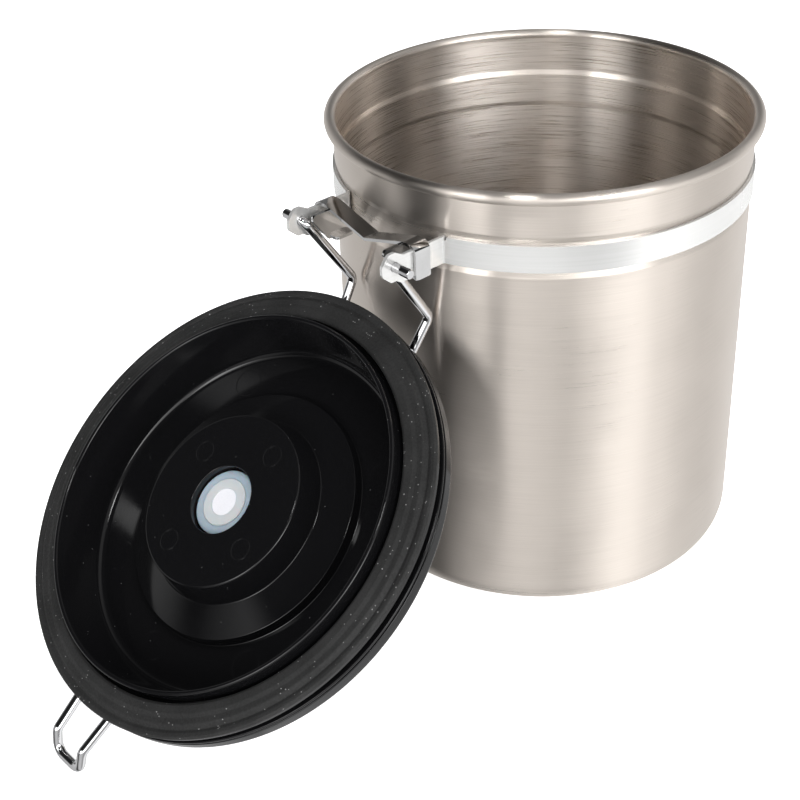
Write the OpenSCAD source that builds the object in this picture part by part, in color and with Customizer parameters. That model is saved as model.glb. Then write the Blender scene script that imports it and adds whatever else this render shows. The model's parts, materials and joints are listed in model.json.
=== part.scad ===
// Food canister: a drawn steel can with a rolled rim, and a plastic lid on a wire bail.
//
// Frame: the origin is the centre of the base, +Z is up, the lid's hinge is at +Y and the
// latch at -Y. The model is stored with the lid swung fully open.
// Lid parts are drawn in the lid's own frame: its origin is on the lid's axis in the plane
// of the plug's lip, and +Z points to the outside of the lid, which is up when it is closed.

/* [Can] */
// Outside diameter of the straight wall
body_d = 123; // [121:0.5:125]
// Height to the top of the rolled rim
body_h = 139; // [125:1:165]
// Thickness of the sheet
sheet_t = 0.6; // [0.5:0.05:0.7]
// Outside radius of the corner between the wall and the base
base_round = 8; // [5:0.5:10]
// Radius of the rolled rim's tube
rim_tube = 1.7; // [1.5:0.05:1.9]

/* [Band and hinge] */
// Height of the band
band_h = 7.9; // [7:0.1:9]
// Distance from the top of the band to the top of the rim
band_drop = 15.4; // [14:0.2:17]
// Thickness of the band
band_t = 1; // [0.8:0.1:1.1]
// Distance from the can's axis to the hinge's axis
hinge_reach = 76.3; // [76:0.1:77]
// Distance from the hinge's axis to the top of the rim
hinge_drop = 18; // [17.5:0.1:18.5]
// Distance between the inner faces of the hinge's arms
arm_gap = 38.4; // [38.2:0.1:39.4]

/* [Lid] */
// Outside diameter of the gasket and of the cover's rim
lid_d = 132.8; // [132:0.2:133.4]
// Diameter inside the lip
lip_d = 109.6; // [109:0.2:110.4]
// Depth of the dish below the lip
dish_depth = 16; // [15:0.2:16.4]
// Angle that the lid opens through
lid_open = 218.1; // [210:0.1:218.1]
// Diameter of the bail's wire
bail_d = 2.8; // [2.4:0.1:2.8]

/* [Latch] */
// Diameter of the lever's wire
lever_d = 2.5; // [2.2:0.1:2.5]
// Diameter of the link's wire
link_d = 2.2; // [2:0.1:2.2]
// Length of the lever's handle below the link's eyes
handle_len = 33; // [26:0.5:33]

/* [Hidden] */
$fn = 96;
wire_fn = 32;

// Can
body_r = body_d / 2;
rim_mid_r = body_r + 0.8;
rim_mid_z = body_h - rim_tube;
rim_curl = 250;
channel_depth = 0.45;
channel_round = 1.6;
band_top = body_h - band_drop;
band_bottom = band_top - band_h;

// Band and hinge
band_in = body_r - 0.35;
band_out = band_in + band_t;
arm_in = arm_gap / 2;
arm_out = arm_in + band_t;
hinge_z = body_h - hinge_drop;
ear_r = 4.2;
pin_clearance = 0.05;
bridge_t = 0.9;
bridge_front = hinge_reach - 6.4;
bridge_back = bridge_front - 5.3;
bridge_top = band_top + 1.3;
bridge_dip = 4.7;
bridge_shoulder = 17;
cheek_in = 14.4;
flange_in = 12.5;
wrap_bottom = band_bottom - 1;

// Lid: heights are above the lip's plane in the lid's frame
lip_z = body_h - 3.35;
lid_r = lid_d / 2;
lip_in = lip_d / 2;
lip_out = lip_in + 1.3;
shell_t = 1.4;
flange_bottom = 5.4;
gasket_in = 57.2;
flange_top = 6.8;
floor_r = lip_in - 5.4;
floor_top = dish_depth + shell_t;
hub_r = 25.6;
hub_base_r = 27.65;
hub_face = 2.8;
hub_foot = 10.5;
plateau_r = 36.9;
plateau_edge = 13.3;
valve_hole_r = 10;
valve_seat = 6;
seat_t = 1.5;
seat_hole_r = 8;
cover_rim = 8.6;
cover_top = 24.4;
cap_floor = 21.8;
cap_r = 24.5;
screw_ring = 18;
screw_r = 1.2;
boss_r = 3;

// Bail: the two legs converge from the hinge to the nose
bail_r = bail_d / 2;
bail_run = floor_top + bail_r + 0.15;
hinge_in_lid = hinge_z - lip_z;
bail_bend = 1.4;
stub_end = 26.4;
stub_start = 19.5;
leg_x = 17.5;
bail_half = [
    [stub_start, hinge_reach, hinge_in_lid],
    [leg_x, hinge_reach, hinge_in_lid],
    [16.3, 74.3, 12.3],
    [15.2, 61.2, 16.8],
    [14.9, 56, bail_run],
    [8, -52.6, bail_run],
    [7.5, -59.3, 11.6],
    [7.4, -61, 9],
    [6.3, -77.2, 8.75],
    [5.6, -82.1, 13]
];
slot_w = bail_d + 0.8;

// Latch, in a frame turned so that +Y points out of the front
bracket_in = band_out + 0.05;
bracket_t = 1;
bracket_half_angle = 15;
ear_in = 14.6;
pivot = [68, hinge_z - 1.5];
eye = [65.8, hinge_z - 9.5];
lever_r = lever_d / 2;
lever_x = 17.2;
handle_x = 9;
handle_out = 4.2;
link_r = link_d / 2;
link_x = 13;
link_len = 36.2;
eye_mid = lever_r + 0.08 + link_r;

// Points along an arc, from angle a0 to angle a1
function arc(x, y, r, a0, a1, n = 8) =
    [for (i = [0 : n]) let (a = a0 + (a1 - a0) * i / n) [x + r * cos(a), y + r * sin(a)]];

function flip(p) = [-p[0], p[1], p[2]];

// A path and its mirror image across X = 0, joined at the end of the half path
function both_sides(half) = concat(half, [for (i = [len(half) - 1 : -1 : 0]) flip(half[i])]);

function unit(v) = v / norm(v);

// Points round the corner b of the path a, b, c, on an arc of radius r
function corner(a, b, c, r) =
    let (back = unit(a - b), on = unit(c - b), turn = acos(-back * on), n = max(1, ceil(turn / 15)),
         reach = r * tan(turn / 2), centre = b + unit(back + on) * r / cos(turn / 2))
    [for (i = [0 : n]) centre + (sin(turn * (1 - i / n)) * (b + back * reach - centre)
                                 + sin(turn * i / n) * (b + on * reach - centre)) / sin(turn)];

function rounded(path, r) = concat(
    [path[0]],
    [for (i = [1 : len(path) - 2]) each corner(path[i - 1], path[i], path[i + 1], r)],
    [path[len(path) - 1]]);

// A direction across the path at each point, carried along so that the tube doesn't twist
function tangent(path, i) =
    unit(path[min(i + 1, len(path) - 1)] - path[max(i - 1, 0)]);

function carried(path, i) =
    let (t = tangent(path, i), last = i == 0 ? [0, 1, 0] : carried(path, i - 1))
    unit(last - (last * t) * t);

// A closed tube with n sides along a path
module tube(path, r, n = 12) {
    across = [for (i = [0 : len(path) - 1]) carried(path, i)];
    points = [for (i = [0 : len(path) - 1]) let (u = across[i], v = cross(tangent(path, i), u))
              for (k = [0 : n - 1]) path[i] + r * (cos(360 * k / n) * u + sin(360 * k / n) * v)];
    last = (len(path) - 1) * n;
    sides = [for (i = [0 : len(path) - 2]) for (k = [0 : n - 1])
             [i * n + k, i * n + (k + 1) % n, (i + 1) * n + (k + 1) % n, (i + 1) * n + k]];
    ends = [[for (k = [n - 1 : -1 : 0]) k], [for (k = [0 : n - 1]) last + k]];
    polyhedron(points, concat([for (f = sides) [f[3], f[2], f[1], f[0]]],
                              [for (f = ends) [for (k = [n - 1 : -1 : 0]) f[k]]]));
}

// One straight length of round wire
module rod(from, to, r) {
    v = to - from;
    translate(from)
        rotate([0, acos(v[2] / norm(v)), atan2(v[1], v[0])])
            cylinder(h = norm(v), r = r, $fn = wire_fn);
}

// Bent round wire: rods with a slightly larger ball at each bend, turned so that its poles
// lie off the rods
module wire(points, r) {
    for (i = [0 : len(points) - 2])
        rod(points[i], points[i + 1], r);
    for (i = [1 : len(points) - 2])
        translate(points[i]) rotate([25, 35, 0]) sphere(r = r * 1.03, $fn = wire_fn);
}

// Children drawn in the lid's frame, placed on the open lid
module on_lid() {
    translate([0, hinge_reach, hinge_z])
        rotate([-lid_open, 0, 0])
            translate([0, -hinge_reach, -hinge_in_lid])
                children();
}

module on_front() {
    rotate([0, 0, 180]) children();
}

// Plate in the YZ plane, from x0 to x0 + t
module side_plate(x0, t) {
    translate([x0, 0, 0])
        rotate([90, 0, 90])
            linear_extrude(t)
                children();
}

module on_both_sides() {
    children();
    mirror([1, 0, 0]) children();
}

module canister_body() {
    channel_r = body_r - channel_depth;
    z0 = band_bottom - 0.6;
    z1 = band_top + 0.6;
    outside = concat(
        [[0, 0]],
        arc(body_r - base_round, base_round, base_round, -90, 0, 10),
        [[body_r, z0 - channel_round], [channel_r, z0], [channel_r, z1]],
        [[body_r, z1 + channel_round], [body_r, rim_mid_z - 1]]);
    curl_end = 180 - rim_curl;
    curl_out = arc(rim_mid_r, rim_mid_z, rim_tube, 180, curl_end, 22);
    curl_in = arc(rim_mid_r, rim_mid_z, rim_tube - sheet_t, curl_end, 180, 22);
    inside = concat(
        [[body_r - sheet_t, rim_mid_z - 1], [body_r - sheet_t, z1 + channel_round]],
        [[channel_r - sheet_t, z1], [channel_r - sheet_t, z0]],
        [[body_r - sheet_t, z0 - channel_round]],
        arc(body_r - base_round, base_round, base_round - sheet_t, 0, -90, 10),
        [[0, sheet_t]]);
    color([0.72, 0.70, 0.67])
        rotate_extrude()
            polygon(concat(outside, [for (i = [len(curl_in) - 1 : -1 : 0]) curl_in[i]],
                           [for (i = [len(curl_out) - 1 : -1 : 0]) curl_out[i]], inside));
}

// One arm of the hinge: the end of the band, bent out, with a round ear
module hinge_arm() {
    difference() {
        side_plate(arm_in, band_t) {
            start = sqrt(band_in * band_in - arm_in * arm_in) + 0.05;
            polygon([[start, band_bottom], [start, band_top],
                     [bridge_front + 0.2, bridge_top - bridge_t - 0.08],
                     [hinge_reach + 0.3, hinge_z + ear_r], [hinge_reach + 0.3, hinge_z - ear_r]]);
            translate([hinge_reach + 0.3, hinge_z]) circle(r = ear_r);
        }
        translate([arm_in - 1, hinge_reach, hinge_z])
            rotate([0, 90, 0])
                cylinder(h = band_t + 2, r = bail_r + pin_clearance, $fn = wire_fn);
    }
}

module neck_band() {
    color([0.88, 0.88, 0.88]) {
        difference() {
            translate([0, 0, band_bottom]) cylinder(h = band_h, r = band_out);
            translate([0, 0, band_bottom - 1]) cylinder(h = band_h + 2, r = band_in);
            translate([-arm_in - 0.4, 0, band_bottom - 1])
                cube([arm_gap + 0.8, 100, band_h + 2]);
        }
        on_both_sides() hinge_arm();
    }
}

// Sheet seen from behind: the V, then over, down and under each arm
module bridge_half_strip() {
    top = bridge_top - bridge_t;
    out = arm_out + 0.1;
    linear_extrude(bridge_front - bridge_back) {
        polygon([[0, bridge_top - bridge_dip], [bridge_shoulder, bridge_top],
                 [out + bridge_t, bridge_top], [out + bridge_t, wrap_bottom],
                 [out, wrap_bottom], [out, top], [bridge_shoulder + 0.2, top],
                 [0, bridge_top - bridge_dip - bridge_t]]);
    }
}

module hinge_bridge() {
    flange_top_z = wrap_bottom + bridge_t;
    color([0.82, 0.82, 0.83]) {
        on_both_sides() {
            translate([0, bridge_front, 0]) rotate([90, 0, 0]) bridge_half_strip();
            translate([flange_in, bridge_back - 2, wrap_bottom])
                cube([arm_out + bridge_t - flange_in, 6.8, bridge_t]);
            side_plate(cheek_in, bridge_t)
                polygon([[bridge_back - 2, wrap_bottom], [bridge_back - 2, flange_top_z + 4],
                         [bridge_front - 1, bridge_top - 1.2], [hinge_reach + 0.7, bridge_top - 1.2],
                         [bridge_front + 0.7, wrap_bottom]]);
        }
    }
}

module latch_bracket() {
    z0 = band_bottom - 0.8;
    h = band_h + 1.6;
    color([0.82, 0.82, 0.83])
        on_front() {
            difference() {
                translate([0, 0, z0]) cylinder(h = h, r = bracket_in + bracket_t);
                translate([0, 0, z0 - 1]) cylinder(h = h + 2, r = bracket_in);
                translate([-100, -100, z0 - 1]) cube([200, 100, h + 2]);
                on_both_sides()
                    rotate([0, 0, -bracket_half_angle])
                        translate([0, -1, z0 - 1])
                            cube([100, 100, h + 2]);
            }
            on_both_sides()
                difference() {
                    side_plate(ear_in, bracket_t) {
                        translate([60.6, z0]) square([7.4, h]);
                        translate(pivot) circle(r = 3.4);
                    }
                    translate([ear_in - 1, pivot[0], pivot[1]])
                        rotate([0, 90, 0])
                            cylinder(h = bracket_t + 2, r = lever_r + pin_clearance, $fn = wire_fn);
                }
        }
}

module latch_lever() {
    slope = handle_out / handle_len;
    along = sqrt(1 - slope * slope);
    function handle(x, s, out) =
        [x, eye[0] + s * slope + out, eye[1] - s * along];
    half = [
        [ear_in - 0.3, pivot[0], pivot[1]],
        [lever_x, pivot[0], pivot[1]],
        [lever_x, eye[0], eye[1]],
        [handle_x, eye[0], eye[1]],
        handle(handle_x, handle_len - 5, 0),
        handle(handle_x - 3, handle_len - 0.6, 1.2)
    ];
    color([0.85, 0.85, 0.86])
        on_front() wire(both_sides(half), lever_r);
}

module latch_link() {
    half = [
        [link_x, eye[0], eye[1] - eye_mid],
        [link_x, eye[0], eye[1] - link_len + 2],
        [link_x - 2, eye[0], eye[1] - link_len]
    ];
    color([0.85, 0.85, 0.86])
        on_front() {
            wire(both_sides(half), link_r);
            on_both_sides()
                translate([link_x, eye[0], eye[1]])
                    rotate([0, 90, 0])
                        rotate_extrude()
                            translate([eye_mid, 0]) circle(r = link_r, $fn = wire_fn);
        }
}

module lid_bail() {
    color([0.85, 0.85, 0.86])
        on_lid() {
            tube(rounded(both_sides(bail_half), bail_bend), bail_r - 0.02);
            on_both_sides()
                translate([stub_start - 0.5, hinge_reach, hinge_in_lid])
                    rotate([0, 90, 0])
                        cylinder(h = stub_end - stub_start + 0.5, r = bail_r, $fn = wire_fn);
        }
}

module lid_plug() {
    corner = 2;
    wall_slope = (lip_in - floor_r - corner) / (dish_depth - corner);
    profile = concat(
        [[seat_hole_r, valve_seat], [valve_hole_r, valve_seat], [valve_hole_r, hub_face]],
        [[hub_r - 0.7, hub_face], [hub_r, hub_face + 0.6], [hub_base_r, hub_foot]],
        [[plateau_r, plateau_edge], [plateau_r + 0.5, dish_depth]],
        arc(floor_r, dish_depth - corner, corner, 90, 0, 5),
        [[lip_in, 0.6]],
        arc((lip_in + lip_out) / 2, 0.6, (lip_out - lip_in) / 2, 180, 360, 6),
        [[lip_out, flange_bottom], [lid_r - 0.2, flange_bottom], [lid_r - 0.2, flange_top]],
        [[lip_in + 0.7, flange_top]],
        arc(floor_r, dish_depth - corner, corner + shell_t, 0, 90, 5),
        [[plateau_r - 0.9, floor_top], [plateau_r - 1.1, plateau_edge + 1.1]],
        [[hub_base_r - 1.3, hub_foot + shell_t], [hub_r - 1.5, hub_face + 1.5]],
        [[valve_hole_r + 1.5, hub_face + 1.5], [valve_hole_r + 1.5, valve_seat + seat_t]],
        [[seat_hole_r, valve_seat + seat_t]]);
    color([0.05, 0.05, 0.05])
        on_lid() {
            rotate_extrude() polygon(profile);
            for (i = [0 : 3])
                rotate([0, 0, 90 * i])
                    translate([screw_ring, 0, hub_face + 1])
                        difference() {
                            cylinder(h = cap_floor - 1.35 - hub_face - 1, r = boss_r, $fn = wire_fn);
                            translate([0, 0, 3])
                                cylinder(h = 30, r = screw_r + pin_clearance, $fn = wire_fn);
                        }
        }
}

module lid_gasket() {
    color([0.12, 0.12, 0.12])
        on_lid()
            rotate_extrude()
                polygon([[gasket_in, flange_bottom], [gasket_in, 3.5], [gasket_in + 0.6, 3.1],
                         [60, 3.1], [61, 3.55], [62.9, 3.55], [64, 4.5], [64.9, 4.3],
                         [lid_r - 0.6, 4.3], [lid_r, 4.8], [lid_r, flange_bottom]]);
}

// Slots where the bail's legs pass under the cover's rim at the nose, and over it at the hinge
module bail_slots() {
    translate([7.4 - slot_w / 2, -70, flange_top - 1]) cube([slot_w, 13, 4.8]);
    translate([7.4 - slot_w / 2, -62.2, flange_top - 1]) cube([slot_w, 5.2, 6.8]);
    translate([15.5 - slot_w / 2, 54, 12.2]) cube([slot_w, 15, 10]);
}

module lid_cover() {
    t = 1.4;
    skirt_r = 62.4;
    profile = [
        [skirt_r - 1.3, flange_top + 0.05], [skirt_r, flange_top + 0.05], [skirt_r, cover_rim],
        [lid_r - 0.4, cover_rim], [lid_r, cover_rim + 0.4], [lid_r, 12.7], [65.7, 14.1],
        [63.4, 16.8], [59.8, 20], [55.4, 22.1], [48, 23.3], [cap_r + 8, 24.1], [cap_r, cover_top],
        [cap_r, cap_floor], [8, cap_floor], [8, cap_floor - t + 0.1], [cap_r + 1.4, cap_floor - t + 0.1],
        [cap_r + 1.4, cover_top - t], [47.8, 23.3 - t], [54.6, 20.7], [58.9, 18.9],
        [62.3, 15.9], [64.4, 13.3], [skirt_r - 1.3, 12]
    ];
    color([0.06, 0.06, 0.06])
        on_lid()
            difference() {
                rotate_extrude() polygon(profile);
                on_both_sides() bail_slots();
                for (i = [0 : 3])
                    rotate([0, 0, 90 * i])
                        translate([screw_ring, 0, cap_floor - 3])
                            cylinder(h = 5, r = screw_r + 0.4, $fn = wire_fn);
            }
}

module cover_screws() {
    color([0.55, 0.55, 0.56])
        on_lid()
            for (i = [0 : 3])
                rotate([0, 0, 90 * i])
                    translate([screw_ring, 0, cap_floor])
                        difference() {
                            union() {
                                cylinder(h = 1.4, r = 2.6, $fn = wire_fn);
                                translate([0, 0, -12]) cylinder(h = 12.5, r = screw_r, $fn = wire_fn);
                            }
                            translate([-1.6, -0.3, 0.7]) cube([3.2, 0.6, 1]);
                            translate([-0.3, -1.6, 0.7]) cube([0.6, 3.2, 1]);
                        }
}

module vent_cap() {
    top = cover_top + 0.2;
    under = top - 1.2;
    color([0.06, 0.06, 0.06])
        on_lid()
            difference() {
                rotate_extrude()
                    polygon([[0, under], [cap_r - 1.6, under], [cap_r - 1.6, cap_floor + 0.05],
                             [cap_r - 0.2, cap_floor + 0.05], [cap_r - 0.2, top - 0.5],
                             [cap_r - 0.7, top], [0, top]]);
                for (i = [0 : 7])
                    rotate([0, 0, 45 * i])
                        translate([9, -0.6, under - 1])
                            cube([6, 1.2, 4]);
            }
}

module valve_grommet() {
    color([0.66, 0.70, 0.74])
        on_lid()
            rotate_extrude()
                polygon([[6, 5], [9.6, 5], [9.6, valve_seat], [seat_hole_r - 0.05, valve_seat],
                         [seat_hole_r - 0.05, valve_seat + seat_t], [9, valve_seat + seat_t],
                         [8.7, 8.4], [6, 8.4]]);
}

module valve_body() {
    color([0.78, 0.79, 0.80])
        on_lid()
            difference() {
                rotate_extrude()
                    polygon([[0, 5.7], [4.05, 5.7], [4.05, 4.5], [6.8, 4.5], [7, 4.7], [7, 5],
                             [5.95, 5], [5.95, 8.6], [0, 8.6]]);
                translate([0, 0, 6.8]) cylinder(h = 3, r = 0.95, $fn = wire_fn);
                for (i = [0 : 5])
                    rotate([0, 0, 60 * i])
                        translate([3, 0, 5])
                            cylinder(h = 5, r = 0.7, $fn = wire_fn);
            }
}

module valve_filter() {
    color([0.95, 0.95, 0.95])
        on_lid()
            translate([0, 0, 4.6]) cylinder(h = 1, r = 4, $fn = 48);
}

module valve_flap() {
    color([0.80, 0.80, 0.80])
        on_lid() {
            translate([0, 0, 8.65]) cylinder(h = 0.6, r = 5.3, $fn = 48);
            translate([0, 0, 7.2]) cylinder(h = 1.6, r = 0.9, $fn = wire_fn);
        }
}

module valve_cage() {
    color([0.85, 0.85, 0.84])
        on_lid()
            difference() {
                rotate_extrude()
                    polygon([[5.98, 8.45], [7.4, 8.45], [7.4, 11.3], [0, 11.3], [0, 10.3], [5.98, 10.3]]);
                for (i = [0 : 3])
                    rotate([0, 0, 90 * i])
                        translate([3.6, 0, 9])
                            cylinder(h = 4, r = 1.2, $fn = wire_fn);
            }
}

canister_body();
neck_band();
hinge_bridge();
latch_bracket();
latch_lever();
latch_link();
lid_bail();
lid_plug();
lid_gasket();
lid_cover();
cover_screws();
vent_cap();
valve_grommet();
valve_body();
valve_filter();
valve_flap();
valve_cage();
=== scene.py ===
"""Looks of the food canister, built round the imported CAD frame.

Lengths are millimetres in the helpers and in the named sizes, and become metres where a mesh
or a placement is made. The frame: origin at the centre of the base, +Z up, hinge at +Y.
The lid's pieces are drawn in the lid's own frame: origin on the lid's axis in the plane of
the plug's lip, +Z to the outside of the lid, +Y towards the hinge.
"""

import json
import math

import bmesh
import bpy
import numpy as np
from mathutils import Matrix, Vector


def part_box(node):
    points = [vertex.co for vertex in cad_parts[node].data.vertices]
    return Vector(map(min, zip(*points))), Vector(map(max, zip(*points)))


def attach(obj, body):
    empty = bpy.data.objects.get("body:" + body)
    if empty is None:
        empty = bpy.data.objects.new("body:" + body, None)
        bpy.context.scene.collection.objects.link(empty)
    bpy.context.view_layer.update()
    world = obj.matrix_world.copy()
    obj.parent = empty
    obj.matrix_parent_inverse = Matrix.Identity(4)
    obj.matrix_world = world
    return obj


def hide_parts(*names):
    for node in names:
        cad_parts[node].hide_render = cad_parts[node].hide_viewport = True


MM = 0.001

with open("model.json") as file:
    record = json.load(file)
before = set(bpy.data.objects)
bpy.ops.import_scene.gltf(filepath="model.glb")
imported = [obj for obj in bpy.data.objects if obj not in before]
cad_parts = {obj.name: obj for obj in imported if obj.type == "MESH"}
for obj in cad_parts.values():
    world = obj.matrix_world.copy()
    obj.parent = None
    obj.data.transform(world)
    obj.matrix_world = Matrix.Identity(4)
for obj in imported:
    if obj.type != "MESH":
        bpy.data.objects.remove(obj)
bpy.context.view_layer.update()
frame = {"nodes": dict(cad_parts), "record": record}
joints = {joint["name"]: joint for joint in frame["record"]["behaviour"]["joints"]}


def box_mm(node):
    """Lowest and highest corner of a CAD node, in millimetres."""
    low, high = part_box(node)
    return Vector(low) / MM, Vector(high) / MM


# ---------------------------------------------------------------- sizes from the frame
# The can: a straight wall under a rolled rim, whose tube stands out past the wall
RIM_R = box_mm("canister_body")[1].x
CAN_H = box_mm("canister_body")[1].z
RIM_TUBE = 1.7
RIM_STEP = 0.8
BODY_R = RIM_R - RIM_STEP - RIM_TUBE
SHEET = 0.6
BASE_ROUND = 8.0

# The band, a little sunk into the channel of the can
BAND_DROP = 15.4
BAND_SINK = 0.35
BAND_H = 7.9
BAND_T = 1.0
BAND_TOP = CAN_H - BAND_DROP
BAND_BOTTOM = BAND_TOP - BAND_H
BAND_IN = BODY_R - BAND_SINK

# The hinge, and the plane of the plug's lip when the lid is closed
hinge = joints["lid_hinge"]
HINGE_Y = hinge["pos_m"][1] / MM
HINGE_Z = hinge["pos_m"][2] / MM
LID_OPEN = math.radians(hinge["range_deg"][1])
LIP_DROP = 3.35
LIP_Z = CAN_H - LIP_DROP
HINGE_IN_LID = HINGE_Z - LIP_Z
LID_R = box_mm("lid_gasket")[1].x

# The bail, whose stub ends reach out through the arms of the band
WIRE_R = 1.4
STUB = 7.2
BAIL_X = box_mm("lid_bail")[1].x
ARM_IN = BAIL_X - STUB
ARM_OUT = ARM_IN + BAND_T
BRIDGE_LOW, BRIDGE_HIGH = box_mm("hinge_bridge")

# Placements: the open lid, the world's own frame, the latch's side, and a lathe's axis laid along X
LID = (
    Matrix.Translation((0, HINGE_Y * MM, HINGE_Z * MM))
    @ Matrix.Rotation(-LID_OPEN, 4, "X")
    @ Matrix.Translation((0, -HINGE_Y * MM, -HINGE_IN_LID * MM))
)
HERE = Matrix.Identity(4)
FRONT = Matrix.Rotation(math.pi, 4, "Z")
ALONG_X = Matrix.Rotation(math.pi / 2, 4, "Y")


# ---------------------------------------------------------------- shape helpers
def arc(x, y, r, start, end, steps=8):
    """Points on an arc in the plane, angles in degrees."""
    angles = np.radians(np.linspace(start, end, steps + 1))
    return [(x + r * math.cos(a), y + r * math.sin(a)) for a in angles]


def rectangle(x0, x1, y0, y1):
    """The corners of a rectangle in the plane."""
    return [(x0, y0), (x1, y0), (x1, y1), (x0, y1)]


def rounded(points, radius, step=12.0, closed=False):
    """The path with each corner replaced by an arc. radius is one number, or one for each point."""
    points = [Vector(p) for p in points]
    count = len(points)
    radii = [radius] * count if isinstance(radius, (int, float)) else list(radius)
    path = []
    for i, b in enumerate(points):
        if not closed and i in (0, count - 1):
            path.append(b)
            continue
        back = points[i - 1] - b
        on = points[(i + 1) % count] - b
        room = 0.49 * min(back.length, on.length)
        back.normalize()
        on.normalize()
        turn = math.acos(max(-1.0, min(1.0, -back.dot(on))))
        if turn < 0.01 or radii[i] <= 0:
            path.append(b)
            continue
        r = min(radii[i], room / math.tan(turn / 2))
        reach = r * math.tan(turn / 2)
        centre = b + (back + on).normalized() * (r / math.cos(turn / 2))
        first = b + back * reach - centre
        last = b + on * reach - centre
        steps = max(2, math.ceil(math.degrees(turn) / step))
        for k in range(steps + 1):
            u = k / steps
            swing = first * math.sin((1 - u) * turn) + last * math.sin(u * turn)
            path.append(centre + swing / math.sin(turn))
    return path


def mesh_object(name, vertices, faces, place=HERE, sharp=35.0):
    """An object from vertices in millimetres, smooth but for edges sharper than an angle."""
    mesh = bpy.data.meshes.new(name)
    mesh.from_pydata([tuple(c * MM for c in v) for v in vertices], [], faces)
    mesh.transform(place)
    build = bmesh.new()
    build.from_mesh(mesh)
    bmesh.ops.remove_doubles(build, verts=build.verts, dist=1e-7)
    bmesh.ops.recalc_face_normals(build, faces=build.faces)
    build.to_mesh(mesh)
    build.free()
    obj = bpy.data.objects.new(name, mesh)
    bpy.context.scene.collection.objects.link(obj)
    smooth(obj, sharp)
    return obj


def smooth(obj, sharp):
    """Smooth shading, but for edges sharper than an angle in degrees."""
    obj.data.shade_smooth()
    obj.data.set_sharp_from_angle(angle=math.radians(sharp))


def lathe(name, outline, place=HERE, segments=192, sharp=35.0):
    """A turned solid. The outline is (radius, height) points, closed on itself or on the axis."""
    vertices, rings, faces = [], [], []
    for r, z in outline:
        if abs(r) < 1e-6:
            rings.append([len(vertices)] * segments)
            vertices.append((0, 0, z))
            continue
        rings.append(list(range(len(vertices), len(vertices) + segments)))
        for k in range(segments):
            a = 2 * math.pi * k / segments
            vertices.append((r * math.cos(a), r * math.sin(a), z))
    on_axis = abs(outline[0][0]) < 1e-6 and abs(outline[-1][0]) < 1e-6
    for i in range(len(rings) - (1 if on_axis else 0)):
        low, high = rings[i], rings[(i + 1) % len(rings)]
        for k in range(segments):
            loop = [low[k], low[(k + 1) % segments], high[(k + 1) % segments], high[k]]
            corners = list(dict.fromkeys(loop))
            if len(corners) > 2:
                faces.append(corners)
    return mesh_object(name, vertices, faces, place, sharp)


def tube(name, path, radius, place=HERE, sides=24, tip=0.35):
    """Round wire along a path, its ends slightly domed."""
    path = [Vector(p) for p in path]
    start = (path[1] - path[0]).normalized()
    end = (path[-1] - path[-2]).normalized()
    path = [path[0], path[0] + start * tip * 0.4, path[0] + start * tip] + path[1:]
    path = path[:-1] + [path[-1] - end * tip, path[-1] - end * tip * 0.4, path[-1]]
    dome = [radius - tip, radius - tip * 0.3]
    radii = dome + [radius] * (len(path) - 4) + dome[::-1]
    across = None
    vertices, faces = [], []
    for i, p in enumerate(path):
        along = (path[min(i + 1, len(path) - 1)] - path[max(i - 1, 0)]).normalized()
        if across is None:
            across = along.orthogonal()
        across = (across - along * across.dot(along)).normalized()
        beside = along.cross(across)
        for k in range(sides):
            a = 2 * math.pi * k / sides
            vertices.append(p + (across * math.cos(a) + beside * math.sin(a)) * radii[i])
    for i in range(len(path) - 1):
        for k in range(sides):
            n = (k + 1) % sides
            faces.append([i * sides + k, i * sides + n, (i + 1) * sides + n, (i + 1) * sides + k])
    last = (len(path) - 1) * sides
    faces.append(list(range(sides)))
    faces.append(list(range(last, last + sides)))
    return mesh_object(name, vertices, faces, place, 50)


def prism(name, outline, low, high, axis="z", place=HERE, sharp=35.0):
    """The outline, a list of points in a plane, pushed from low to high along an axis."""
    def at(p, h):
        if axis == "z":
            return (p[0], p[1], h)
        if axis == "y":
            return (p[0], h, p[1])
        return (h, p[0], p[1])
    count = len(outline)
    vertices = [at(p, low) for p in outline] + [at(p, high) for p in outline]
    faces = [list(range(count)), list(range(2 * count - 1, count - 1, -1))]
    for i in range(count):
        n = (i + 1) % count
        faces.append([i, n, count + n, count + i])
    return mesh_object(name, vertices, faces, place, sharp)


def ribbon(path, thickness):
    """The outline of a strip of even thickness along a path in the plane."""
    path = [Vector(p) for p in path]
    left, right = [], []
    for i, p in enumerate(path):
        along = path[min(i + 1, len(path) - 1)] - path[max(i - 1, 0)]
        side = Vector((-along.y, along.x)).normalized() * thickness / 2
        left.append(p + side)
        right.append(p - side)
    return left + right[::-1]


def mirrored(points):
    """A path from +X to the middle, carried on to its mirror image."""
    half = [Vector(p) for p in points]
    return half + [Vector((-p.x, *p[1:])) for p in reversed(half)]


def boolean(obj, tool, operation):
    """Cuts or joins in place, and removes the tool."""
    modifier = obj.modifiers.new("bool", "BOOLEAN")
    modifier.operation = operation
    modifier.solver = "EXACT"
    modifier.object = tool
    apply_modifiers(obj)
    bpy.data.objects.remove(tool, do_unlink=True)


def apply_modifiers(obj):
    """Bakes the modifiers of an object into its mesh."""
    bpy.context.view_layer.update()
    result = obj.evaluated_get(bpy.context.evaluated_depsgraph_get())
    made = bpy.data.meshes.new_from_object(result)
    obj.modifiers.clear()
    obj.data = made


def add_bevel(obj, width, segments, angle):
    """A weld, and a bevel of every edge sharper than an angle. The width is in millimetres."""
    weld = obj.modifiers.new("weld", "WELD")
    weld.merge_threshold = 2e-6
    bevel = obj.modifiers.new("bevel", "BEVEL")
    bevel.width = width * MM
    bevel.segments = segments
    bevel.limit_method = "ANGLE"
    bevel.angle_limit = math.radians(angle)


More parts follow.
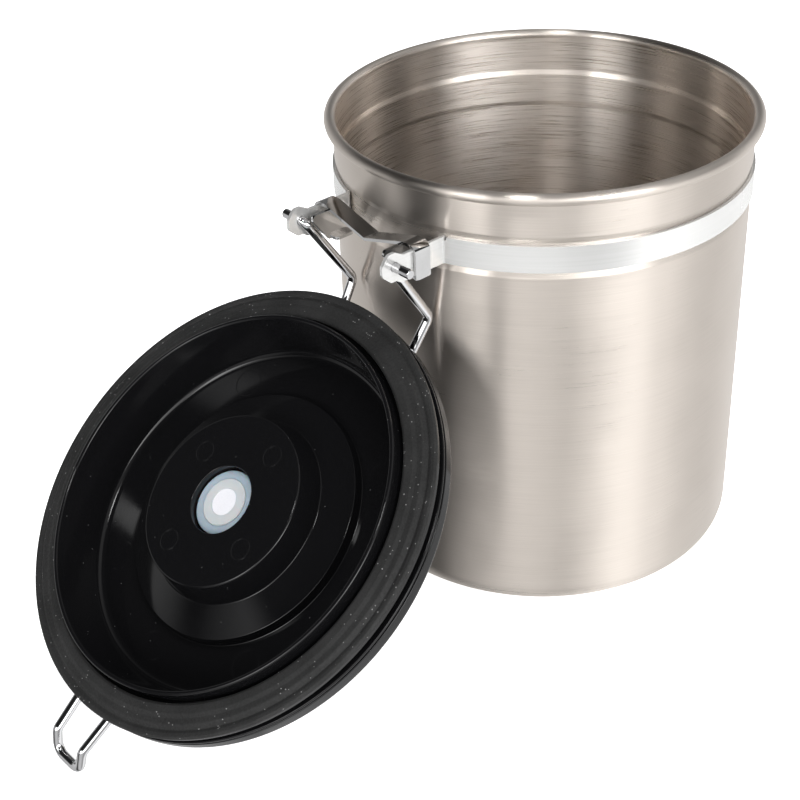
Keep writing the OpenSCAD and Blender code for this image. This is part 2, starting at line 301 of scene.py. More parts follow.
def soften(obj, width, segments, angle):
    """Rounds the sharp edges of a piece, as tumbling or moulding leaves them."""
    add_bevel(obj, width, segments, angle)
    apply_modifiers(obj)
    smooth(obj, 40)


def joined(name, parts):
    """Several meshes as one object."""
    build = bmesh.new()
    for part in parts:
        build.from_mesh(part.data)
    mesh = bpy.data.meshes.new(name)
    build.to_mesh(mesh)
    build.free()
    for part in parts:
        bpy.data.objects.remove(part, do_unlink=True)
    obj = bpy.data.objects.new(name, mesh)
    bpy.context.scene.collection.objects.link(obj)
    return obj


# ---------------------------------------------------------------- materials
# The colour sockets of a Mix node, which share their names with its other sockets
MIX_A, MIX_B, MIX_RESULT = 6, 7, 2


class Nodes:
    """Short calls that add nodes to a node tree."""

    def __init__(self, tree):
        self.tree = tree

    def node(self, kind, **settings):
        made = self.tree.nodes.new(kind)
        for key, value in settings.items():
            setattr(made, key, value)
        return made

    def link(self, out, socket):
        self.tree.links.new(out, socket)

    def axes(self, vector):
        """The X, Y and Z of a vector."""
        split = self.node("ShaderNodeSeparateXYZ")
        self.link(vector, split.inputs[0])
        return split.outputs

    def math(self, operation, a, b=None):
        made = self.node("ShaderNodeMath", operation=operation)
        for socket, value in zip(made.inputs, (a, b)):
            if value is None:
                continue
            if isinstance(value, (int, float)):
                socket.default_value = value
            else:
                self.link(value, socket)
        return made.outputs[0]

    def spread(self, value, low, high, start=0.0, end=1.0, **settings):
        """value from start..end to low..high."""
        made = self.node("ShaderNodeMapRange", **settings)
        for key, number in zip(("From Min", "From Max", "To Min", "To Max"), (start, end, low, high)):
            made.inputs[key].default_value = number
        self.link(value, made.inputs["Value"])
        return made.outputs["Result"]

    def mix(self, factor, a, b):
        """The colour a where the factor is 0, and b where it is 1."""
        made = self.node("ShaderNodeMix", data_type="RGBA")
        self.link(factor, made.inputs["Factor"])
        for socket, value in ((made.inputs[MIX_A], a), (made.inputs[MIX_B], b)):
            if isinstance(value, tuple):
                socket.default_value = (*value, 1.0)
            else:
                self.link(value, socket)
        return made.outputs[MIX_RESULT]


class Shader(Nodes):
    """A procedural material on one Principled BSDF, with short calls for its texture nodes."""

    def __init__(self, name, **values):
        self.material = bpy.data.materials.new(name)
        self.material.use_nodes = True
        super().__init__(self.material.node_tree)
        self.bsdf = self.tree.nodes["Principled BSDF"]
        for key, value in values.items():
            socket = self.bsdf.inputs[key.replace("_", " ")]
            socket.default_value = (*value, 1.0) if isinstance(value, tuple) else value
        self.coords = self.node("ShaderNodeTexCoord").outputs["Object"]

    def scaled(self, vector, scale):
        """The vector times a scale on each axis: the larger the scale, the finer the texture."""
        made = self.node("ShaderNodeMapping")
        made.inputs["Scale"].default_value = scale
        self.link(vector, made.inputs["Vector"])
        return made.outputs[0]

    def noise(self, vector, scale, detail=3.0, rough=0.5):
        made = self.node("ShaderNodeTexNoise")
        made.inputs["Scale"].default_value = scale
        made.inputs["Detail"].default_value = detail
        made.inputs["Roughness"].default_value = rough
        self.link(vector, made.inputs["Vector"])
        return made.outputs["Fac"]

    def cells(self, vector, scale):
        """Scattered points: the distance to the nearest, and a colour that is its own."""
        made = self.node("ShaderNodeTexVoronoi")
        made.inputs["Scale"].default_value = scale
        self.link(vector, made.inputs["Vector"])
        return made.outputs["Distance"], made.outputs["Color"]

    def bump(self, height, strength, distance):
        """distance is in millimetres."""
        made = self.node("ShaderNodeBump")
        made.inputs["Strength"].default_value = strength
        made.inputs["Distance"].default_value = distance * MM
        self.link(height, made.inputs["Height"])
        self.link(made.outputs["Normal"], self.bsdf.inputs["Normal"])

    def set(self, key, out):
        self.link(out, self.bsdf.inputs[key])

    def tint(self, value, start, end, dark, light):
        """Colours the surface from dark to light as value goes from start to end."""
        self.set("Base Color", self.mix(self.spread(value, 0, 1, start, end), dark, light))

    def specks(self, scale, size, amount):
        """1 in small scattered dots, 0 elsewhere. amount is the share of cells that have a dot."""
        distance, colour = self.cells(self.coords, scale)
        inside = self.math("LESS_THAN", distance, size)
        pick = self.node("ShaderNodeSeparateColor")
        self.link(colour, pick.inputs[0])
        chosen = self.math("LESS_THAN", pick.outputs[0], amount)
        return self.math("MULTIPLY", inside, chosen)


def brushed_steel():
    """Stainless sheet with brushing that runs round the axis, deeper on the inside of the can.

    The strokes follow lines of equal height on the wall and of equal radius on the base.
    """
    s = Shader("brushed_steel", Metallic=1.0, Anisotropic=1.0, Anisotropic_Rotation=0.25)
    x, y, z = s.axes(s.coords)
    radius = s.math("SQRT", s.math("ADD", s.math("MULTIPLY", x, x), s.math("MULTIPLY", y, y)))
    down = s.math("ADD", z, radius)
    line = s.node("ShaderNodeCombineXYZ")
    for value, socket in zip((x, y, down), line.inputs):
        s.link(value, socket)
    fine = s.noise(s.scaled(line.outputs[0], (50, 50, 4800)), 1.0, 3.0, 0.55)
    coarse = s.noise(s.scaled(line.outputs[0], (20, 20, 1800)), 1.0, 2.0, 0.5)
    smudge = s.noise(s.coords, 28.0, 4.0, 0.55)
    strokes = s.math("ADD", s.math("MULTIPLY", fine, 0.88), s.math("MULTIPLY", coarse, 0.12))
    inside = s.math("LESS_THAN", radius, (BODY_R - SHEET / 2) * MM)
    depth = s.spread(inside, 0.35, 1.0)
    cut = s.math("ADD", s.math("MULTIPLY", s.math("SUBTRACT", strokes, 0.5), depth), 0.5)
    s.tint(cut, 0.38, 0.62, (0.66, 0.60, 0.543), (0.77, 0.705, 0.645))
    finish = s.spread(cut, 0.22, 0.42, 0.3, 0.7)
    s.set("Roughness", s.math("ADD", finish, s.spread(smudge, -0.02, 0.04, 0.4, 0.7)))
    s.bump(cut, 0.3, 0.01)
    around = s.node("ShaderNodeTangent", direction_type="RADIAL", axis="Z")
    s.link(around.outputs[0], s.bsdf.inputs["Tangent"])
    return s.material


def chrome(name, colour):
    """Polished plated steel: slight waves and a few fine rub marks."""
    s = Shader(name, Metallic=1.0, Roughness=0.06, Base_Color=colour)
    waves = s.noise(s.coords, 180.0, 2.0)
    rub = s.noise(s.scaled(s.coords, (900, 900, 2600)), 1.0, 3.0)
    s.set("Roughness", s.spread(rub, 0.048, 0.09, 0.35, 0.75))
    s.tint(waves, 0.3, 0.7, tuple(c * 0.94 for c in colour), colour)
    s.bump(waves, 0.12, 0.15)
    return s.material


def satin_band():
    """Pale rolled strip: a soft sheen, with faint drawing lines along it."""
    s = Shader("satin_band", Metallic=0.65)
    lines = s.noise(s.scaled(s.coords, (15, 15, 1800)), 1.0, 3.0)
    s.set("Roughness", s.spread(lines, 0.19, 0.25, 0.3, 0.7))
    s.tint(lines, 0.3, 0.7, (0.68, 0.68, 0.67), (0.73, 0.73, 0.72))
    s.bump(lines, 0.1, 0.01)
    return s.material


def black_plastic():
    """Gloss moulded plastic with a little orange peel and dust."""
    s = Shader("black_plastic", Roughness=0.12, IOR=1.5, Specular_IOR_Level=0.34)
    peel = s.noise(s.coords, 420.0, 2.0)
    haze = s.noise(s.coords, 45.0, 3.0)
    dust = s.specks(900.0, 0.14, 0.02)
    s.set("Base Color", s.mix(dust, (0.0045, 0.0045, 0.005), (0.06, 0.06, 0.06)))
    s.set("Roughness", s.math("ADD", s.spread(haze, 0.06, 0.16, 0.35, 0.7), s.math("MULTIPLY", dust, 0.4)))
    s.bump(peel, 0.05, 0.05)
    return s.material


def black_rubber():
    """Matt rubber with a fine pebbled face and scattered pale dust."""
    s = Shader("black_rubber", IOR=1.45)
    pebble = s.noise(s.coords, 1500.0, 2.0, 0.6)
    bands = s.noise(s.coords, 90.0, 3.0)
    dust = s.math("MAXIMUM", s.specks(1500.0, 0.25, 0.05), s.specks(600.0, 0.13, 0.03))
    dark = s.mix(s.spread(bands, 0, 1, 0.35, 0.7), (0.009, 0.009, 0.009), (0.016, 0.016, 0.016))
    s.set("Base Color", s.mix(dust, dark, (0.20, 0.20, 0.20)))
    s.set("Roughness", s.spread(pebble, 0.62, 0.85, 0.3, 0.7))
    s.bump(pebble, 0.6, 0.12)
    return s.material


def silicone():
    """Bluish clear silicone, a little cloudy."""
    s = Shader("silicone", Roughness=0.38, IOR=1.41, Subsurface_Weight=0.35, Subsurface_Scale=0.004)
    cloud = s.noise(s.coords, 260.0, 2.0)
    s.set("Base Color", s.mix(cloud, (0.28, 0.35, 0.41), (0.36, 0.43, 0.49)))
    s.bump(cloud, 0.1, 0.05)
    return s.material


def milky_plastic():
    """Natural plastic that lets some light in."""
    s = Shader("milky_plastic", Roughness=0.42, IOR=1.48, Subsurface_Weight=0.3, Subsurface_Scale=0.003)
    cloud = s.noise(s.coords, 300.0, 2.0)
    s.set("Base Color", s.mix(cloud, (0.42, 0.44, 0.46), (0.50, 0.51, 0.52)))
    s.bump(cloud, 0.1, 0.04)
    return s.material


def felt():
    """White filter felt, its fibres drawn one way."""
    s = Shader("filter_felt", Roughness=0.9)
    fibres = s.noise(s.scaled(s.coords, (3000, 1600, 3000)), 1.0, 5.0, 0.7)
    s.set("Base Color", s.mix(fibres, (0.56, 0.56, 0.60), (0.74, 0.74, 0.77)))
    s.bump(fibres, 0.5, 0.08)
    return s.material


def zinc():
    """Zinc-plated steel with a fine grain."""
    s = Shader("zinc_screw", Metallic=1.0, Roughness=0.35, Base_Color=(0.55, 0.55, 0.56))
    grain = s.noise(s.coords, 1800.0, 3.0)
    s.set("Roughness", s.spread(grain, 0.25, 0.45, 0.3, 0.7))
    s.set("Base Color", s.mix(grain, (0.48, 0.48, 0.49), (0.62, 0.62, 0.62)))
    return s.material


def floor_paint():
    """Pale matt paint that glows a little, so that the floor meets the backdrop without a line."""
    s = Shader("pale_floor", Roughness=0.65, Emission_Color=(1.0, 1.0, 1.0), Emission_Strength=0.8)
    grain = s.noise(s.coords, 60.0, 3.0)
    s.set("Base Color", s.mix(grain, (0.93, 0.93, 0.93), (0.95, 0.95, 0.95)))
    return s.material


STEEL = brushed_steel()
BRIGHT = chrome("bright_plate", (0.62, 0.62, 0.62))
BAND = satin_band()
WIRE = chrome("bright_wire", (0.66, 0.66, 0.67))
PLASTIC = black_plastic()
RUBBER = black_rubber()
SILICONE = silicone()
MILKY = milky_plastic()
FELT = felt()
ZINC = zinc()


def even_normals(obj):
    """Flat faces shade flat, and only the rounded edges between them shade round."""
    weighted = obj.modifiers.new("even_normals", "WEIGHTED_NORMAL")
    weighted.keep_sharp = True


def piece(obj, body, node, material):
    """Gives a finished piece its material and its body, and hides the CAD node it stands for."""
    obj.data.materials.clear()
    obj.data.materials.append(material)
    even_normals(obj)
    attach(obj, body)
    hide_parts(node)
    return obj


def dress(node, material, bevel):
    """A better material and softer edges on a CAD node that keeps its own shape."""
    obj = frame["nodes"][node]
    obj.data.materials.clear()
    obj.data.materials.append(material)
    for face in obj.data.polygons:
        face.material_index = 0
    add_bevel(obj, bevel, 2, 40)
    even_normals(obj)


# ---------------------------------------------------------------- the can
def can_face(inset):
    """A face of the can's sheet, from the middle of the base up through the channel to the neck."""
    wall_r = BODY_R - inset
    channel_r = BODY_R - 0.45 - inset
    low, high = BAND_BOTTOM - 0.6, BAND_TOP + 0.6
    slope = 1.6
    points = [(0, inset), (wall_r, inset), (wall_r, low - slope), (channel_r, low), (channel_r, high),
              (wall_r, high + slope), (wall_r, CAN_H - RIM_TUBE - 1.2)]
    return rounded(points, [0, BASE_ROUND - inset, 1.6, 1.2, 1.2, 1.6, 0], 9)


def make_can():
    """The can's sheet: base, wall, channel, and a rim rolled outwards and left open underneath."""
    rim_r, rim_z = RIM_R - RIM_TUBE, CAN_H - RIM_TUBE
    curl = arc(rim_r, rim_z, RIM_TUBE, 180, -70, 30)
    curl_back = arc(rim_r, rim_z, RIM_TUBE - SHEET, -70, 180, 30)
    outline = can_face(0) + curl_back[::-1] + curl[::-1] + can_face(SHEET)[::-1]
    return lathe("can_shell", outline, segments=256, sharp=60)


piece(make_can(), "canister", "canister_body", STEEL)


# ---------------------------------------------------------------- the bail
def bail_path():
    """The bail's centre line in the lid's frame: stub end, knee, leg, nose, and back the same way."""
    half = [
        (BAIL_X, HINGE_Y, HINGE_IN_LID), (17.5, HINGE_Y, HINGE_IN_LID), (16.3, 74.3, 12.3),
        (15.2, 61.2, 16.8), (14.9, 56, 18.95), (8, -52.6, 18.95), (7.5, -59.3, 11.6),
        (7.4, -61, 9), (6.3, -77.2, 8.75), (5.6, -82.1, 13)]
    bends = [0, 2.2, 2.8, 6.0, 3.0, 2.0, 1.5, 1.5, 2.6, 4.4]
    return rounded(mirrored(half), bends + bends[::-1], 9)


piece(tube("bail_wire", bail_path(), WIRE_R, LID), "lid", "lid_bail", WIRE)


# ---------------------------------------------------------------- the lid
# Radii from the lid's axis, heights from the plane of the lip, and the thickness of the walls
LIP_IN, LIP_OUT = LID_R - 11.6, LID_R - 10.3
DISH = 16.0
WALL = 1.4
FLANGE_LOW, FLANGE_TOP = 5.4, 6.8
FLOOR_R = LIP_IN - 5.4
HUB_R, HUB_BASE_R, HUB_FACE, HUB_FOOT = 25.6, 27.65, 2.8, 10.5
PLATEAU_R, PLATEAU_EDGE = 36.9, 13.3
VALVE_HOLE_R, VALVE_SEAT, SEAT_T, SEAT_HOLE_R = 10.0, 6.0, 1.5, 8.0
CAP_R, CAP_FLOOR, COVER_TOP, COVER_RIM = 24.5, 21.8, 24.4, 8.6
SCREW_RING = 18.0


def turned(name, corners, sharp=50.0, segments=192, place=LID, step=12):
    """A turned solid from corners given as (radius, height, rounding)."""
    points = [corner[:2] for corner in corners]
    outline = rounded(points, [corner[2] for corner in corners], step, closed=True)
    return lathe(name, outline, place, segments, sharp)


def on_lid(x, y):
    """The lid's frame, moved sideways."""
    return LID @ Matrix.Translation((x * MM, y * MM, 0))


def lid_ring(count, radius, first=0.0):
    """Places spaced evenly round the lid's axis. first is the angle of the first, in degrees."""
    angles = [math.radians(first + 360 * k / count) for k in range(count)]
    return [on_lid(radius * math.cos(a), radius * math.sin(a)) for a in angles]


def disc_mark(place, z, r, rise):
    """The witness ring that an ejector pin leaves in a moulded face: a shallow ring of facets."""
    foot, crest = 0.22, 0.1
    buried, shown = z + 0.3, z + 0.02
    outline = [(r - foot, buried), (r - foot, shown), (r - crest, z - rise), (r + crest, z - rise),
               (r + foot, shown), (r + foot, buried)]
    return lathe("mark", outline, place, 48, 30)


def screw_boss(place):
    """A post behind the hub, bored for a cover screw."""
    foot, floor, top = HUB_FACE + 1, HUB_FACE + 4, CAP_FLOOR - 1.35
    core_r, hole_r, post_r = 0.6, 1.25, 3
    corners = [(hole_r, floor, 0), (hole_r, top, 0), (post_r, top, 0.2), (post_r, foot, 0.2),
               (core_r, foot, 0), (core_r, floor, 0)]
    return turned("boss", corners, segments=32, place=place)


def weld_line():
    """The faint line on the hub's face where the plastic met in the mould."""
    line = rectangle(VALVE_HOLE_R + 0.6, HUB_R - 0.9, -0.09, 0.09)
    place = LID @ Matrix.Rotation(math.radians(100), 4, "Z")
    return prism("weld", line, HUB_FACE - 0.012, HUB_FACE + 0.3, place=place)


def make_plug():
    """The inner shell: valve seat, hub, plateau, dish, lip and flange, screw bosses and mould marks."""
    seen_face = [
        (SEAT_HOLE_R, VALVE_SEAT, 0), (VALVE_HOLE_R, VALVE_SEAT, 0.15), (VALVE_HOLE_R, HUB_FACE, 0.3),
        (HUB_R, HUB_FACE, 0.75), (HUB_BASE_R, HUB_FOOT, 0.6), (PLATEAU_R, PLATEAU_EDGE, 0.35),
        (PLATEAU_R + 0.5, DISH, 0.5), (FLOOR_R + 2.2, DISH, 2.4), (LIP_IN, 0, 0.62), (LIP_OUT, 0, 0.62),
        (LIP_OUT, FLANGE_LOW, 0.3), (LID_R - 0.2, FLANGE_LOW, 0.25)]
    hidden_face = [
        (LID_R - 0.2, FLANGE_TOP, 0.4), (LIP_IN + 0.7, FLANGE_TOP, 0.3), (FLOOR_R + 3.4, DISH + WALL, 3.4),
        (PLATEAU_R - 0.9, DISH + WALL, 0.4), (PLATEAU_R - 1.1, PLATEAU_EDGE + 1.1, 0.3),
        (HUB_BASE_R - 1.3, HUB_FOOT + WALL, 0.3), (HUB_R - 1.5, HUB_FACE + 1.5, 0.3),
        (VALVE_HOLE_R + 1.5, HUB_FACE + 1.5, 0.2), (VALVE_HOLE_R + 1.5, VALVE_SEAT + SEAT_T, 0.2),
        (SEAT_HOLE_R, VALVE_SEAT + SEAT_T, 0)]
    parts = [turned("shell", seen_face + hidden_face, segments=256)]
    for x, y in ((15.4, 8.6), (-6.8, 17.8), (-16.6, -7.6), (7.1, -17.0)):
        parts.append(disc_mark(on_lid(x, y), HUB_FACE, 3.0, 0.05))
    for place in lid_ring(8, 44.2, 2):
        parts.append(disc_mark(place, DISH, 4.3, 0.03))
    for place in lid_ring(4, SCREW_RING):
        parts.append(screw_boss(place))
    parts.append(weld_line())
    return joined("plug_shell", parts)


plug = make_plug()
smooth(plug, 50)
piece(plug, "lid", "lid_plug", PLASTIC)


def make_gasket():
    """A rubber ring under the flange: a broad pad for the rim, a groove and a thin outer edge."""
    corners = [
        (57.2, FLANGE_LOW, 0), (57.2, 3.3, 0.3), (57.9, 3.0, 0.5), (60.0, 3.12, 1.2), (61.2, 3.55, 1.2),
        (62.9, 3.55, 0.9), (64.0, 4.6, 0.35), (64.9, 4.2, 0.6), (66.0, 4.2, 0.55), (LID_R, 4.8, 0.4),
        (LID_R, FLANGE_LOW, 0.1)]
    return turned("gasket_ring", corners, step=10, segments=256)


piece(make_gasket(), "lid", "lid_gasket", RUBBER)


def make_cover():
    """The outer shell: skirt, grooved rim, crown and cap recess, slots for the bail and screw holes."""
    skirt = LID_R - 4
    skirt_foot = FLANGE_TOP + 0.05
    recess_back = CAP_FLOOR - WALL + 0.1
    outside = [
        (skirt - 1.3, skirt_foot, 0), (skirt, skirt_foot, 0.2), (skirt, COVER_RIM, 0.3),
        (LID_R - 0.05, COVER_RIM, 0.35), (LID_R - 0.05, 9.3, 0.25), (LID_R - 0.5, 9.45, 0.1),
        (LID_R - 0.5, 9.75, 0.1), (LID_R, 9.9, 0.25), (LID_R, 12.9, 1.6), (63.4, 17.0, 4), (59.2, 20.4, 6),
        (54.8, 22.3, 8), (48, 23.3, 10), (CAP_R + 8, 24.1, 12), (CAP_R, COVER_TOP, 0.35),
        (CAP_R, CAP_FLOOR, 0.2), (8, CAP_FLOOR, 0.1)]
    inside = [
        (8, recess_back, 0.1), (CAP_R + WALL, recess_back, 0.4), (CAP_R + WALL, COVER_TOP - WALL, 0.4),
        (47.8, 23.3 - WALL, 8), (54.6, 20.7, 4), (58.9, 18.9, 4), (62.3, 15.9, 3), (64.4, 13.3, 0.8),
        (skirt - 1.3, 12, 0.4)]
    cover = turned("cover_shell", outside + inside, segments=256)
    half_w = WIRE_R + 0.4
    bail_slots = ((7.4, -70, -57, 5.8, 10.6), (7.4, -62.2, -57, 5.8, 12.6), (15.5, 54, 69, 12.2, 22.2))
    for side in (1, -1):
        for x, y0, y1, low, high in bail_slots:
            slot = rectangle(side * x - half_w, side * x + half_w, y0, y1)
            boolean(cover, prism("slot", slot, low, high, place=LID), "DIFFERENCE")
    for place in lid_ring(4, SCREW_RING):
        hole = lathe("hole", rectangle(0, 1.6, CAP_FLOOR - 3, CAP_FLOOR + 2), place, 32)
        boolean(cover, hole, "DIFFERENCE")
    soften(cover, 0.18, 2, 40)
    return cover


piece(make_cover(), "lid", "lid_cover", PLASTIC)


# ---------------------------------------------------------------- band, bridge and latch
def make_band():
    """The ring and the two arms, bent from one strip, with a rounded ear at each end."""
    mid_r = BAND_IN + BAND_T / 2
    arm_x = ARM_IN + BAND_T / 2
    ear_y = box_mm("neck_band")[1].y
    bend_r = 1.1
    gap = math.degrees(math.asin((ARM_IN + 0.4) / mid_r))
    ring = arc(0, 0, mid_r, 90 + gap, 450 - gap, 150)
    path = [(-arm_x, ear_y)] + ring + [(arm_x, ear_y)]
    path = rounded(path, [0, bend_r] + [0] * (len(ring) - 2) + [bend_r, 0], 12)
    strip = prism("band_strip", ribbon(path, BAND_T), BAND_BOTTOM - 1, BAND_TOP + 2, sharp=20)

    ear_r = 4.2
    ear_mid = ear_y - ear_r
    ear_low, ear_high = HINGE_Z - ear_r, HINGE_Z + ear_r
    past = 80
    profile = [
        (-past, BAND_BOTTOM), (ear_mid - 2.2, BAND_BOTTOM), (ear_mid - 0.6, ear_low),
        (ear_mid + 1.2, ear_low), (ear_y, HINGE_Z - 1.6), (ear_y, HINGE_Z + 1.4),
        (ear_mid + 1.8, ear_high), (ear_mid - 0.4, ear_high), (ear_mid - 3.4, BAND_TOP),
        (-past, BAND_TOP)]
    profile = rounded(profile, [0, 1.5, 1, 1.4, 1.6, 1.6, 1.4, 1, 1.5, 0], 12, closed=True)
    boolean(strip, prism("side", profile, -past, past, axis="x"), "INTERSECT")

    on_hinge = Matrix.Translation((0, HINGE_Y * MM, HINGE_Z * MM)) @ ALONG_X
    pin = lathe("pin", rectangle(0, WIRE_R + 0.05, -40, 40), on_hinge, 48)
    boolean(strip, pin, "DIFFERENCE")
    for side in (1, -1):
        x = side * (ARM_OUT + 0.35)
        wedge = [(x - 0.55, 55), (x + 0.55, 55), (x + 0.2, 62.5), (x - 0.2, 62.5)]
        boolean(strip, prism("notch", wedge, BAND_TOP - 1.1, BAND_TOP + 3), "DIFFERENCE")
    soften(strip, 0.16, 2, 30)
    return strip


piece(make_band(), "canister", "neck_band", BAND)


def make_bridge():
    """A strap: a shallow V between the arms, folded over each arm, down it and under it."""
    t = 0.9
    out = BRIDGE_HIGH.x - t / 2
    front, back = HINGE_Y - 6.4, HINGE_Y - 11.7
    low, top = BRIDGE_LOW.z, BRIDGE_HIGH.z
    mid = top - t / 2
    half = [(out, low + 0.2), (out, mid), (16.4, mid - 0.1)]
    bends = [0, 2.9, 3.5]
    path = half + [(0, mid - 4.7)] + [(-x, z) for x, z in half[::-1]]
    path = rounded(path, bends + [1.4] + bends[::-1], 8)
    bridge = prism("strap", ribbon(path, t), back, front, axis="y", sharp=20)
    for side in (1, -1):
        edge, root = side * (out + t / 2), side * 12.5
        flange = [(root, back - 2), (edge, back - 0.2), (edge, front - 0.5), (root, front - 0.5)]
        flange = rounded(flange, [1.2, 0.6, 0.6, 1.2], 15, closed=True)
        boolean(bridge, prism("under", flange, low, low + t), "UNION")
        cheek = [(back - 2, low + 0.3), (back - 2, low + t + 4), (front - 1, top - 1.2),
                 (HINGE_Y + 0.7, top - 1.2), (front + 0.7, low + 0.3)]
        cheek = rounded(cheek, [0, 0.8, 0.3, 1.2, 0.4], 12, closed=True)
        near, far = sorted((side * 14.4, side * (14.4 + t)))
        boolean(bridge, prism("cheek", cheek, near, far, axis="x"), "UNION")
    soften(bridge, 0.2, 3, 30)
    return bridge


piece(make_bridge(), "canister", "hinge_bridge", BRIGHT)

# The latch, in a frame turned so that +Y points out of the front
PIVOT_OUT, PIVOT_Z = 68.0, HINGE_Z - 1.5
EYE_OUT, EYE_Z = 65.8, HINGE_Z - 9.5
LEVER_R, LINK_R = 1.25, 1.1
LEVER_X, HANDLE_X, LINK_X = 17.2, 9, 13
EYE_PLAY = 0.08


def lever_path():
    """The lever's centre line, from one pivot over the link's eyes and the handle to the other."""
    half = [(14.3, PIVOT_OUT, PIVOT_Z), (LEVER_X, PIVOT_OUT, PIVOT_Z), (LEVER_X, EYE_OUT, EYE_Z),
            (HANDLE_X, EYE_OUT, EYE_Z), (HANDLE_X, EYE_OUT + 4.2, EYE_Z - 33)]
    bends = [0, 1.6, 1.6, 1.6, 4.5]
    return rounded(mirrored(half), bends + bends[::-1], 10)


piece(tube("lever_wire", lever_path(), LEVER_R, FRONT), "lever", "latch_lever", WIRE)


def make_link():
    """Wire bent into a loop, with a closed eye at each end for the lever."""
    eye_mid = LEVER_R + EYE_PLAY + LINK_R
    half = [(LINK_X, EYE_OUT, EYE_Z - eye_mid), (LINK_X, EYE_OUT, EYE_Z - 36.2)]
    parts = [tube("link", rounded(mirrored(half), [0, 4.0, 4.0, 0], 10), LINK_R, FRONT)]
    for side in (1, -1):
        eye = Matrix.Translation((side * LINK_X * MM, EYE_OUT * MM, EYE_Z * MM))
        parts.append(lathe("eye", arc(eye_mid, 0, LINK_R, 0, 340, 17), FRONT @ eye @ ALONG_X, 40, 60))
    return joined("link_wire", parts)


link = make_link()
smooth(link, 60)
piece(link, "link", "latch_link", WIRE)


# ---------------------------------------------------------------- the vent valve and the small parts
def make_cap():
    """A disc with eight radial slots, a raised rim and a raised middle, snapped into the cover."""
    cap_r = CAP_R - 0.3
    foot, face, crest = CAP_FLOOR + 0.05, 24.25, 24.6
    corners = [(0, foot, 0), (cap_r, foot, 0.2), (cap_r, crest, 0.5), (20.5, crest, 0.3), (20.1, face, 0.2),
               (5.6, face, 0.2), (5.2, crest, 0.3), (0, crest, 0)]
    cap = turned("cap", corners, segments=160)
    slit = rounded(rectangle(9, 18, -1, 1), 0.95, 20, closed=True)
    for k in range(8):
        place = LID @ Matrix.Rotation(k * math.pi / 4, 4, "Z")
        boolean(cap, prism("slit", slit, CAP_FLOOR - 1, 26, place=place), "DIFFERENCE")
    soften(cap, 0.15, 2, 35)
    return cap


piece(make_cap(), "lid", "vent_cap", PLASTIC)

for cad_node, cad_material, edge_width in (
    ("latch_bracket", BRIGHT, 0.18),
    ("cover_screws", ZINC, 0.12),
    ("valve_grommet", SILICONE, 0.2),
    ("valve_body", MILKY, 0.12),
    ("valve_filter", FELT, 0.15),
    ("valve_flap", SILICONE, 0.05),
    ("valve_cage", MILKY, 0.12),
):
    dress(cad_node, cad_material, edge_width)


# ---------------------------------------------------------------- floor, light and camera
def make_floor():
    """A wide floor, 0.2 mm under the base."""
    bpy.ops.mesh.primitive_plane_add(size=30.0, location=(0, 0, -0.2 * MM))
    floor = bpy.context.object
    floor.name = "floor"
    floor.data.materials.append(floor_paint())
    floor.visible_glossy = False


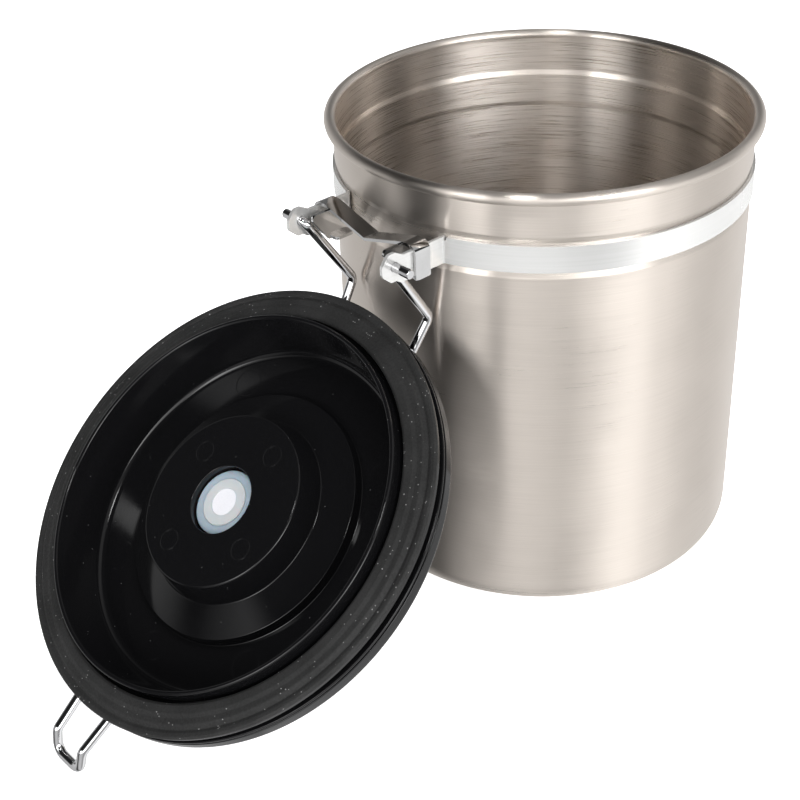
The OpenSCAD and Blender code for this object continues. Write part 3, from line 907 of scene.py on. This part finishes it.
def make_world():
    """A studio of three rings of light and dark walls: about the horizon, above it, and overhead."""
    world = bpy.data.worlds.new("studio")
    bpy.context.scene.world = world
    world.use_nodes = True
    n = Nodes(world.node_tree)
    n.tree.nodes.clear()
    x, y, z = n.axes(n.node("ShaderNodeTexCoord").outputs["Generated"])
    share = n.spread(n.math("ARCTAN2", y, x), 0, 1, -math.pi, math.pi)

    def ring(stops):
        """Brightness round the room. stops are (azimuth in degrees, level), the ends at -180 and 180."""
        walls = n.node("ShaderNodeValToRGB")
        ramp = walls.color_ramp.elements
        for _ in range(len(stops) - 2):
            ramp.new(0.5)
        for element, (azimuth, level) in zip(ramp, stops):
            element.position = (azimuth + 180) / 360
            element.color = (level, level, level, 1)
        n.link(share, walls.inputs[0])
        return walls.outputs[0]

    def blend(low, high, start, end):
        """From low to high as the height of the direction goes from start to end."""
        return n.mix(n.spread(z, 0, 1, start, end, interpolation_type="SMOOTHSTEP"), low, high)

    low = ring([
        (-180, 0.7), (-169, 1.3), (-154, 1.4), (-140, 1.1), (-118, 0.95), (-90, 1.05), (-60, 0.9),
        (-20, 0.8), (20, 0.7), (50, 0.6), (58, 0.25), (64, 0.04), (76, 0.06), (84, 0.45), (96, 0.66),
        (110, 0.74), (124, 0.74), (140, 0.68), (150, 0.5), (164, 0.4), (172, 0.5), (180, 0.7)])
    high = ring([
        (-180, 9.0), (-174, 6.0), (-163, 0.6), (-148, 0.05), (-124, 0.03), (-114, 0.3), (-100, 0.8),
        (-50, 0.12), (-5, 0.4), (12, 0.3), (30, 0.03), (58, 0.03), (68, 0.5), (80, 1.2), (90, 6.0),
        (104, 9.0), (108, 2.0), (131, 3.0), (150, 4.6), (160, 8.0), (172, 10.0), (180, 9.0)])
    top = ring([
        (-180, 0.6), (-90, 0.5), (-40, 0.15), (0, 0.02), (120, 0.02), (150, 0.35), (180, 0.6)])
    shine = n.node("ShaderNodeBackground")
    n.link(blend(blend(low, high, 0.1, 0.22), top, 0.42, 0.56), shine.inputs[0])
    n.link(shine.outputs[0], n.node("ShaderNodeOutputWorld").inputs[0])


def make_light(name, place, aim, size, power, glossy):
    """A square lamp that is seen in reflections, or else only lights matt surfaces.

    Its places and size are in metres, and its power is in watts.
    """
    lamp = bpy.data.lights.new(name, "AREA")
    lamp.size = size
    lamp.energy = power
    obj = bpy.data.objects.new(name, lamp)
    obj.location = place
    obj.rotation_euler = (Vector(aim) - Vector(place)).to_track_quat("-Z", "Y").to_euler()
    obj.visible_glossy = glossy
    obj.visible_diffuse = not glossy
    bpy.context.scene.collection.objects.link(obj)


def make_camera():
    """Stands off the hinge side, and looks down at the can and the open lid."""
    azimuth = math.radians(133.6)
    reach, height = 439.05, 316.76
    pitch, yaw, roll = math.radians(32.536), math.radians(-5.885), math.radians(-2.309)
    heading = azimuth + math.pi - yaw
    ahead = math.cos(pitch)
    forward = Vector((math.cos(heading) * ahead, math.sin(heading) * ahead, -math.sin(pitch)))
    right = Vector((math.sin(heading), -math.cos(heading), 0))
    up = right.cross(forward)
    rolled_right = right * math.cos(roll) + up * math.sin(roll)
    rolled_up = up * math.cos(roll) - right * math.sin(roll)
    data = bpy.data.cameras.new("camera")
    data.lens = 71.61
    data.sensor_width = 36.0
    data.clip_start, data.clip_end = 0.01, 60
    camera = bpy.data.objects.new("camera", data)
    place = Matrix((rolled_right, rolled_up, -forward)).transposed().to_4x4()
    place.translation = Vector((math.cos(azimuth) * reach, math.sin(azimuth) * reach, height)) * MM
    camera.matrix_world = place
    bpy.context.scene.collection.objects.link(camera)
    bpy.context.scene.camera = camera


make_floor()
make_world()
make_light("fill_top", (-0.1, 0.1, 1.5), (0, 0.05, 0), 0.9, 14, False)
make_light("edge_glint", (-0.25, 0.44, 1.09), (0, 0.07, 0.08), 0.16, 2, True)
make_camera()
bpy.context.scene.view_settings.view_transform = "Standard"
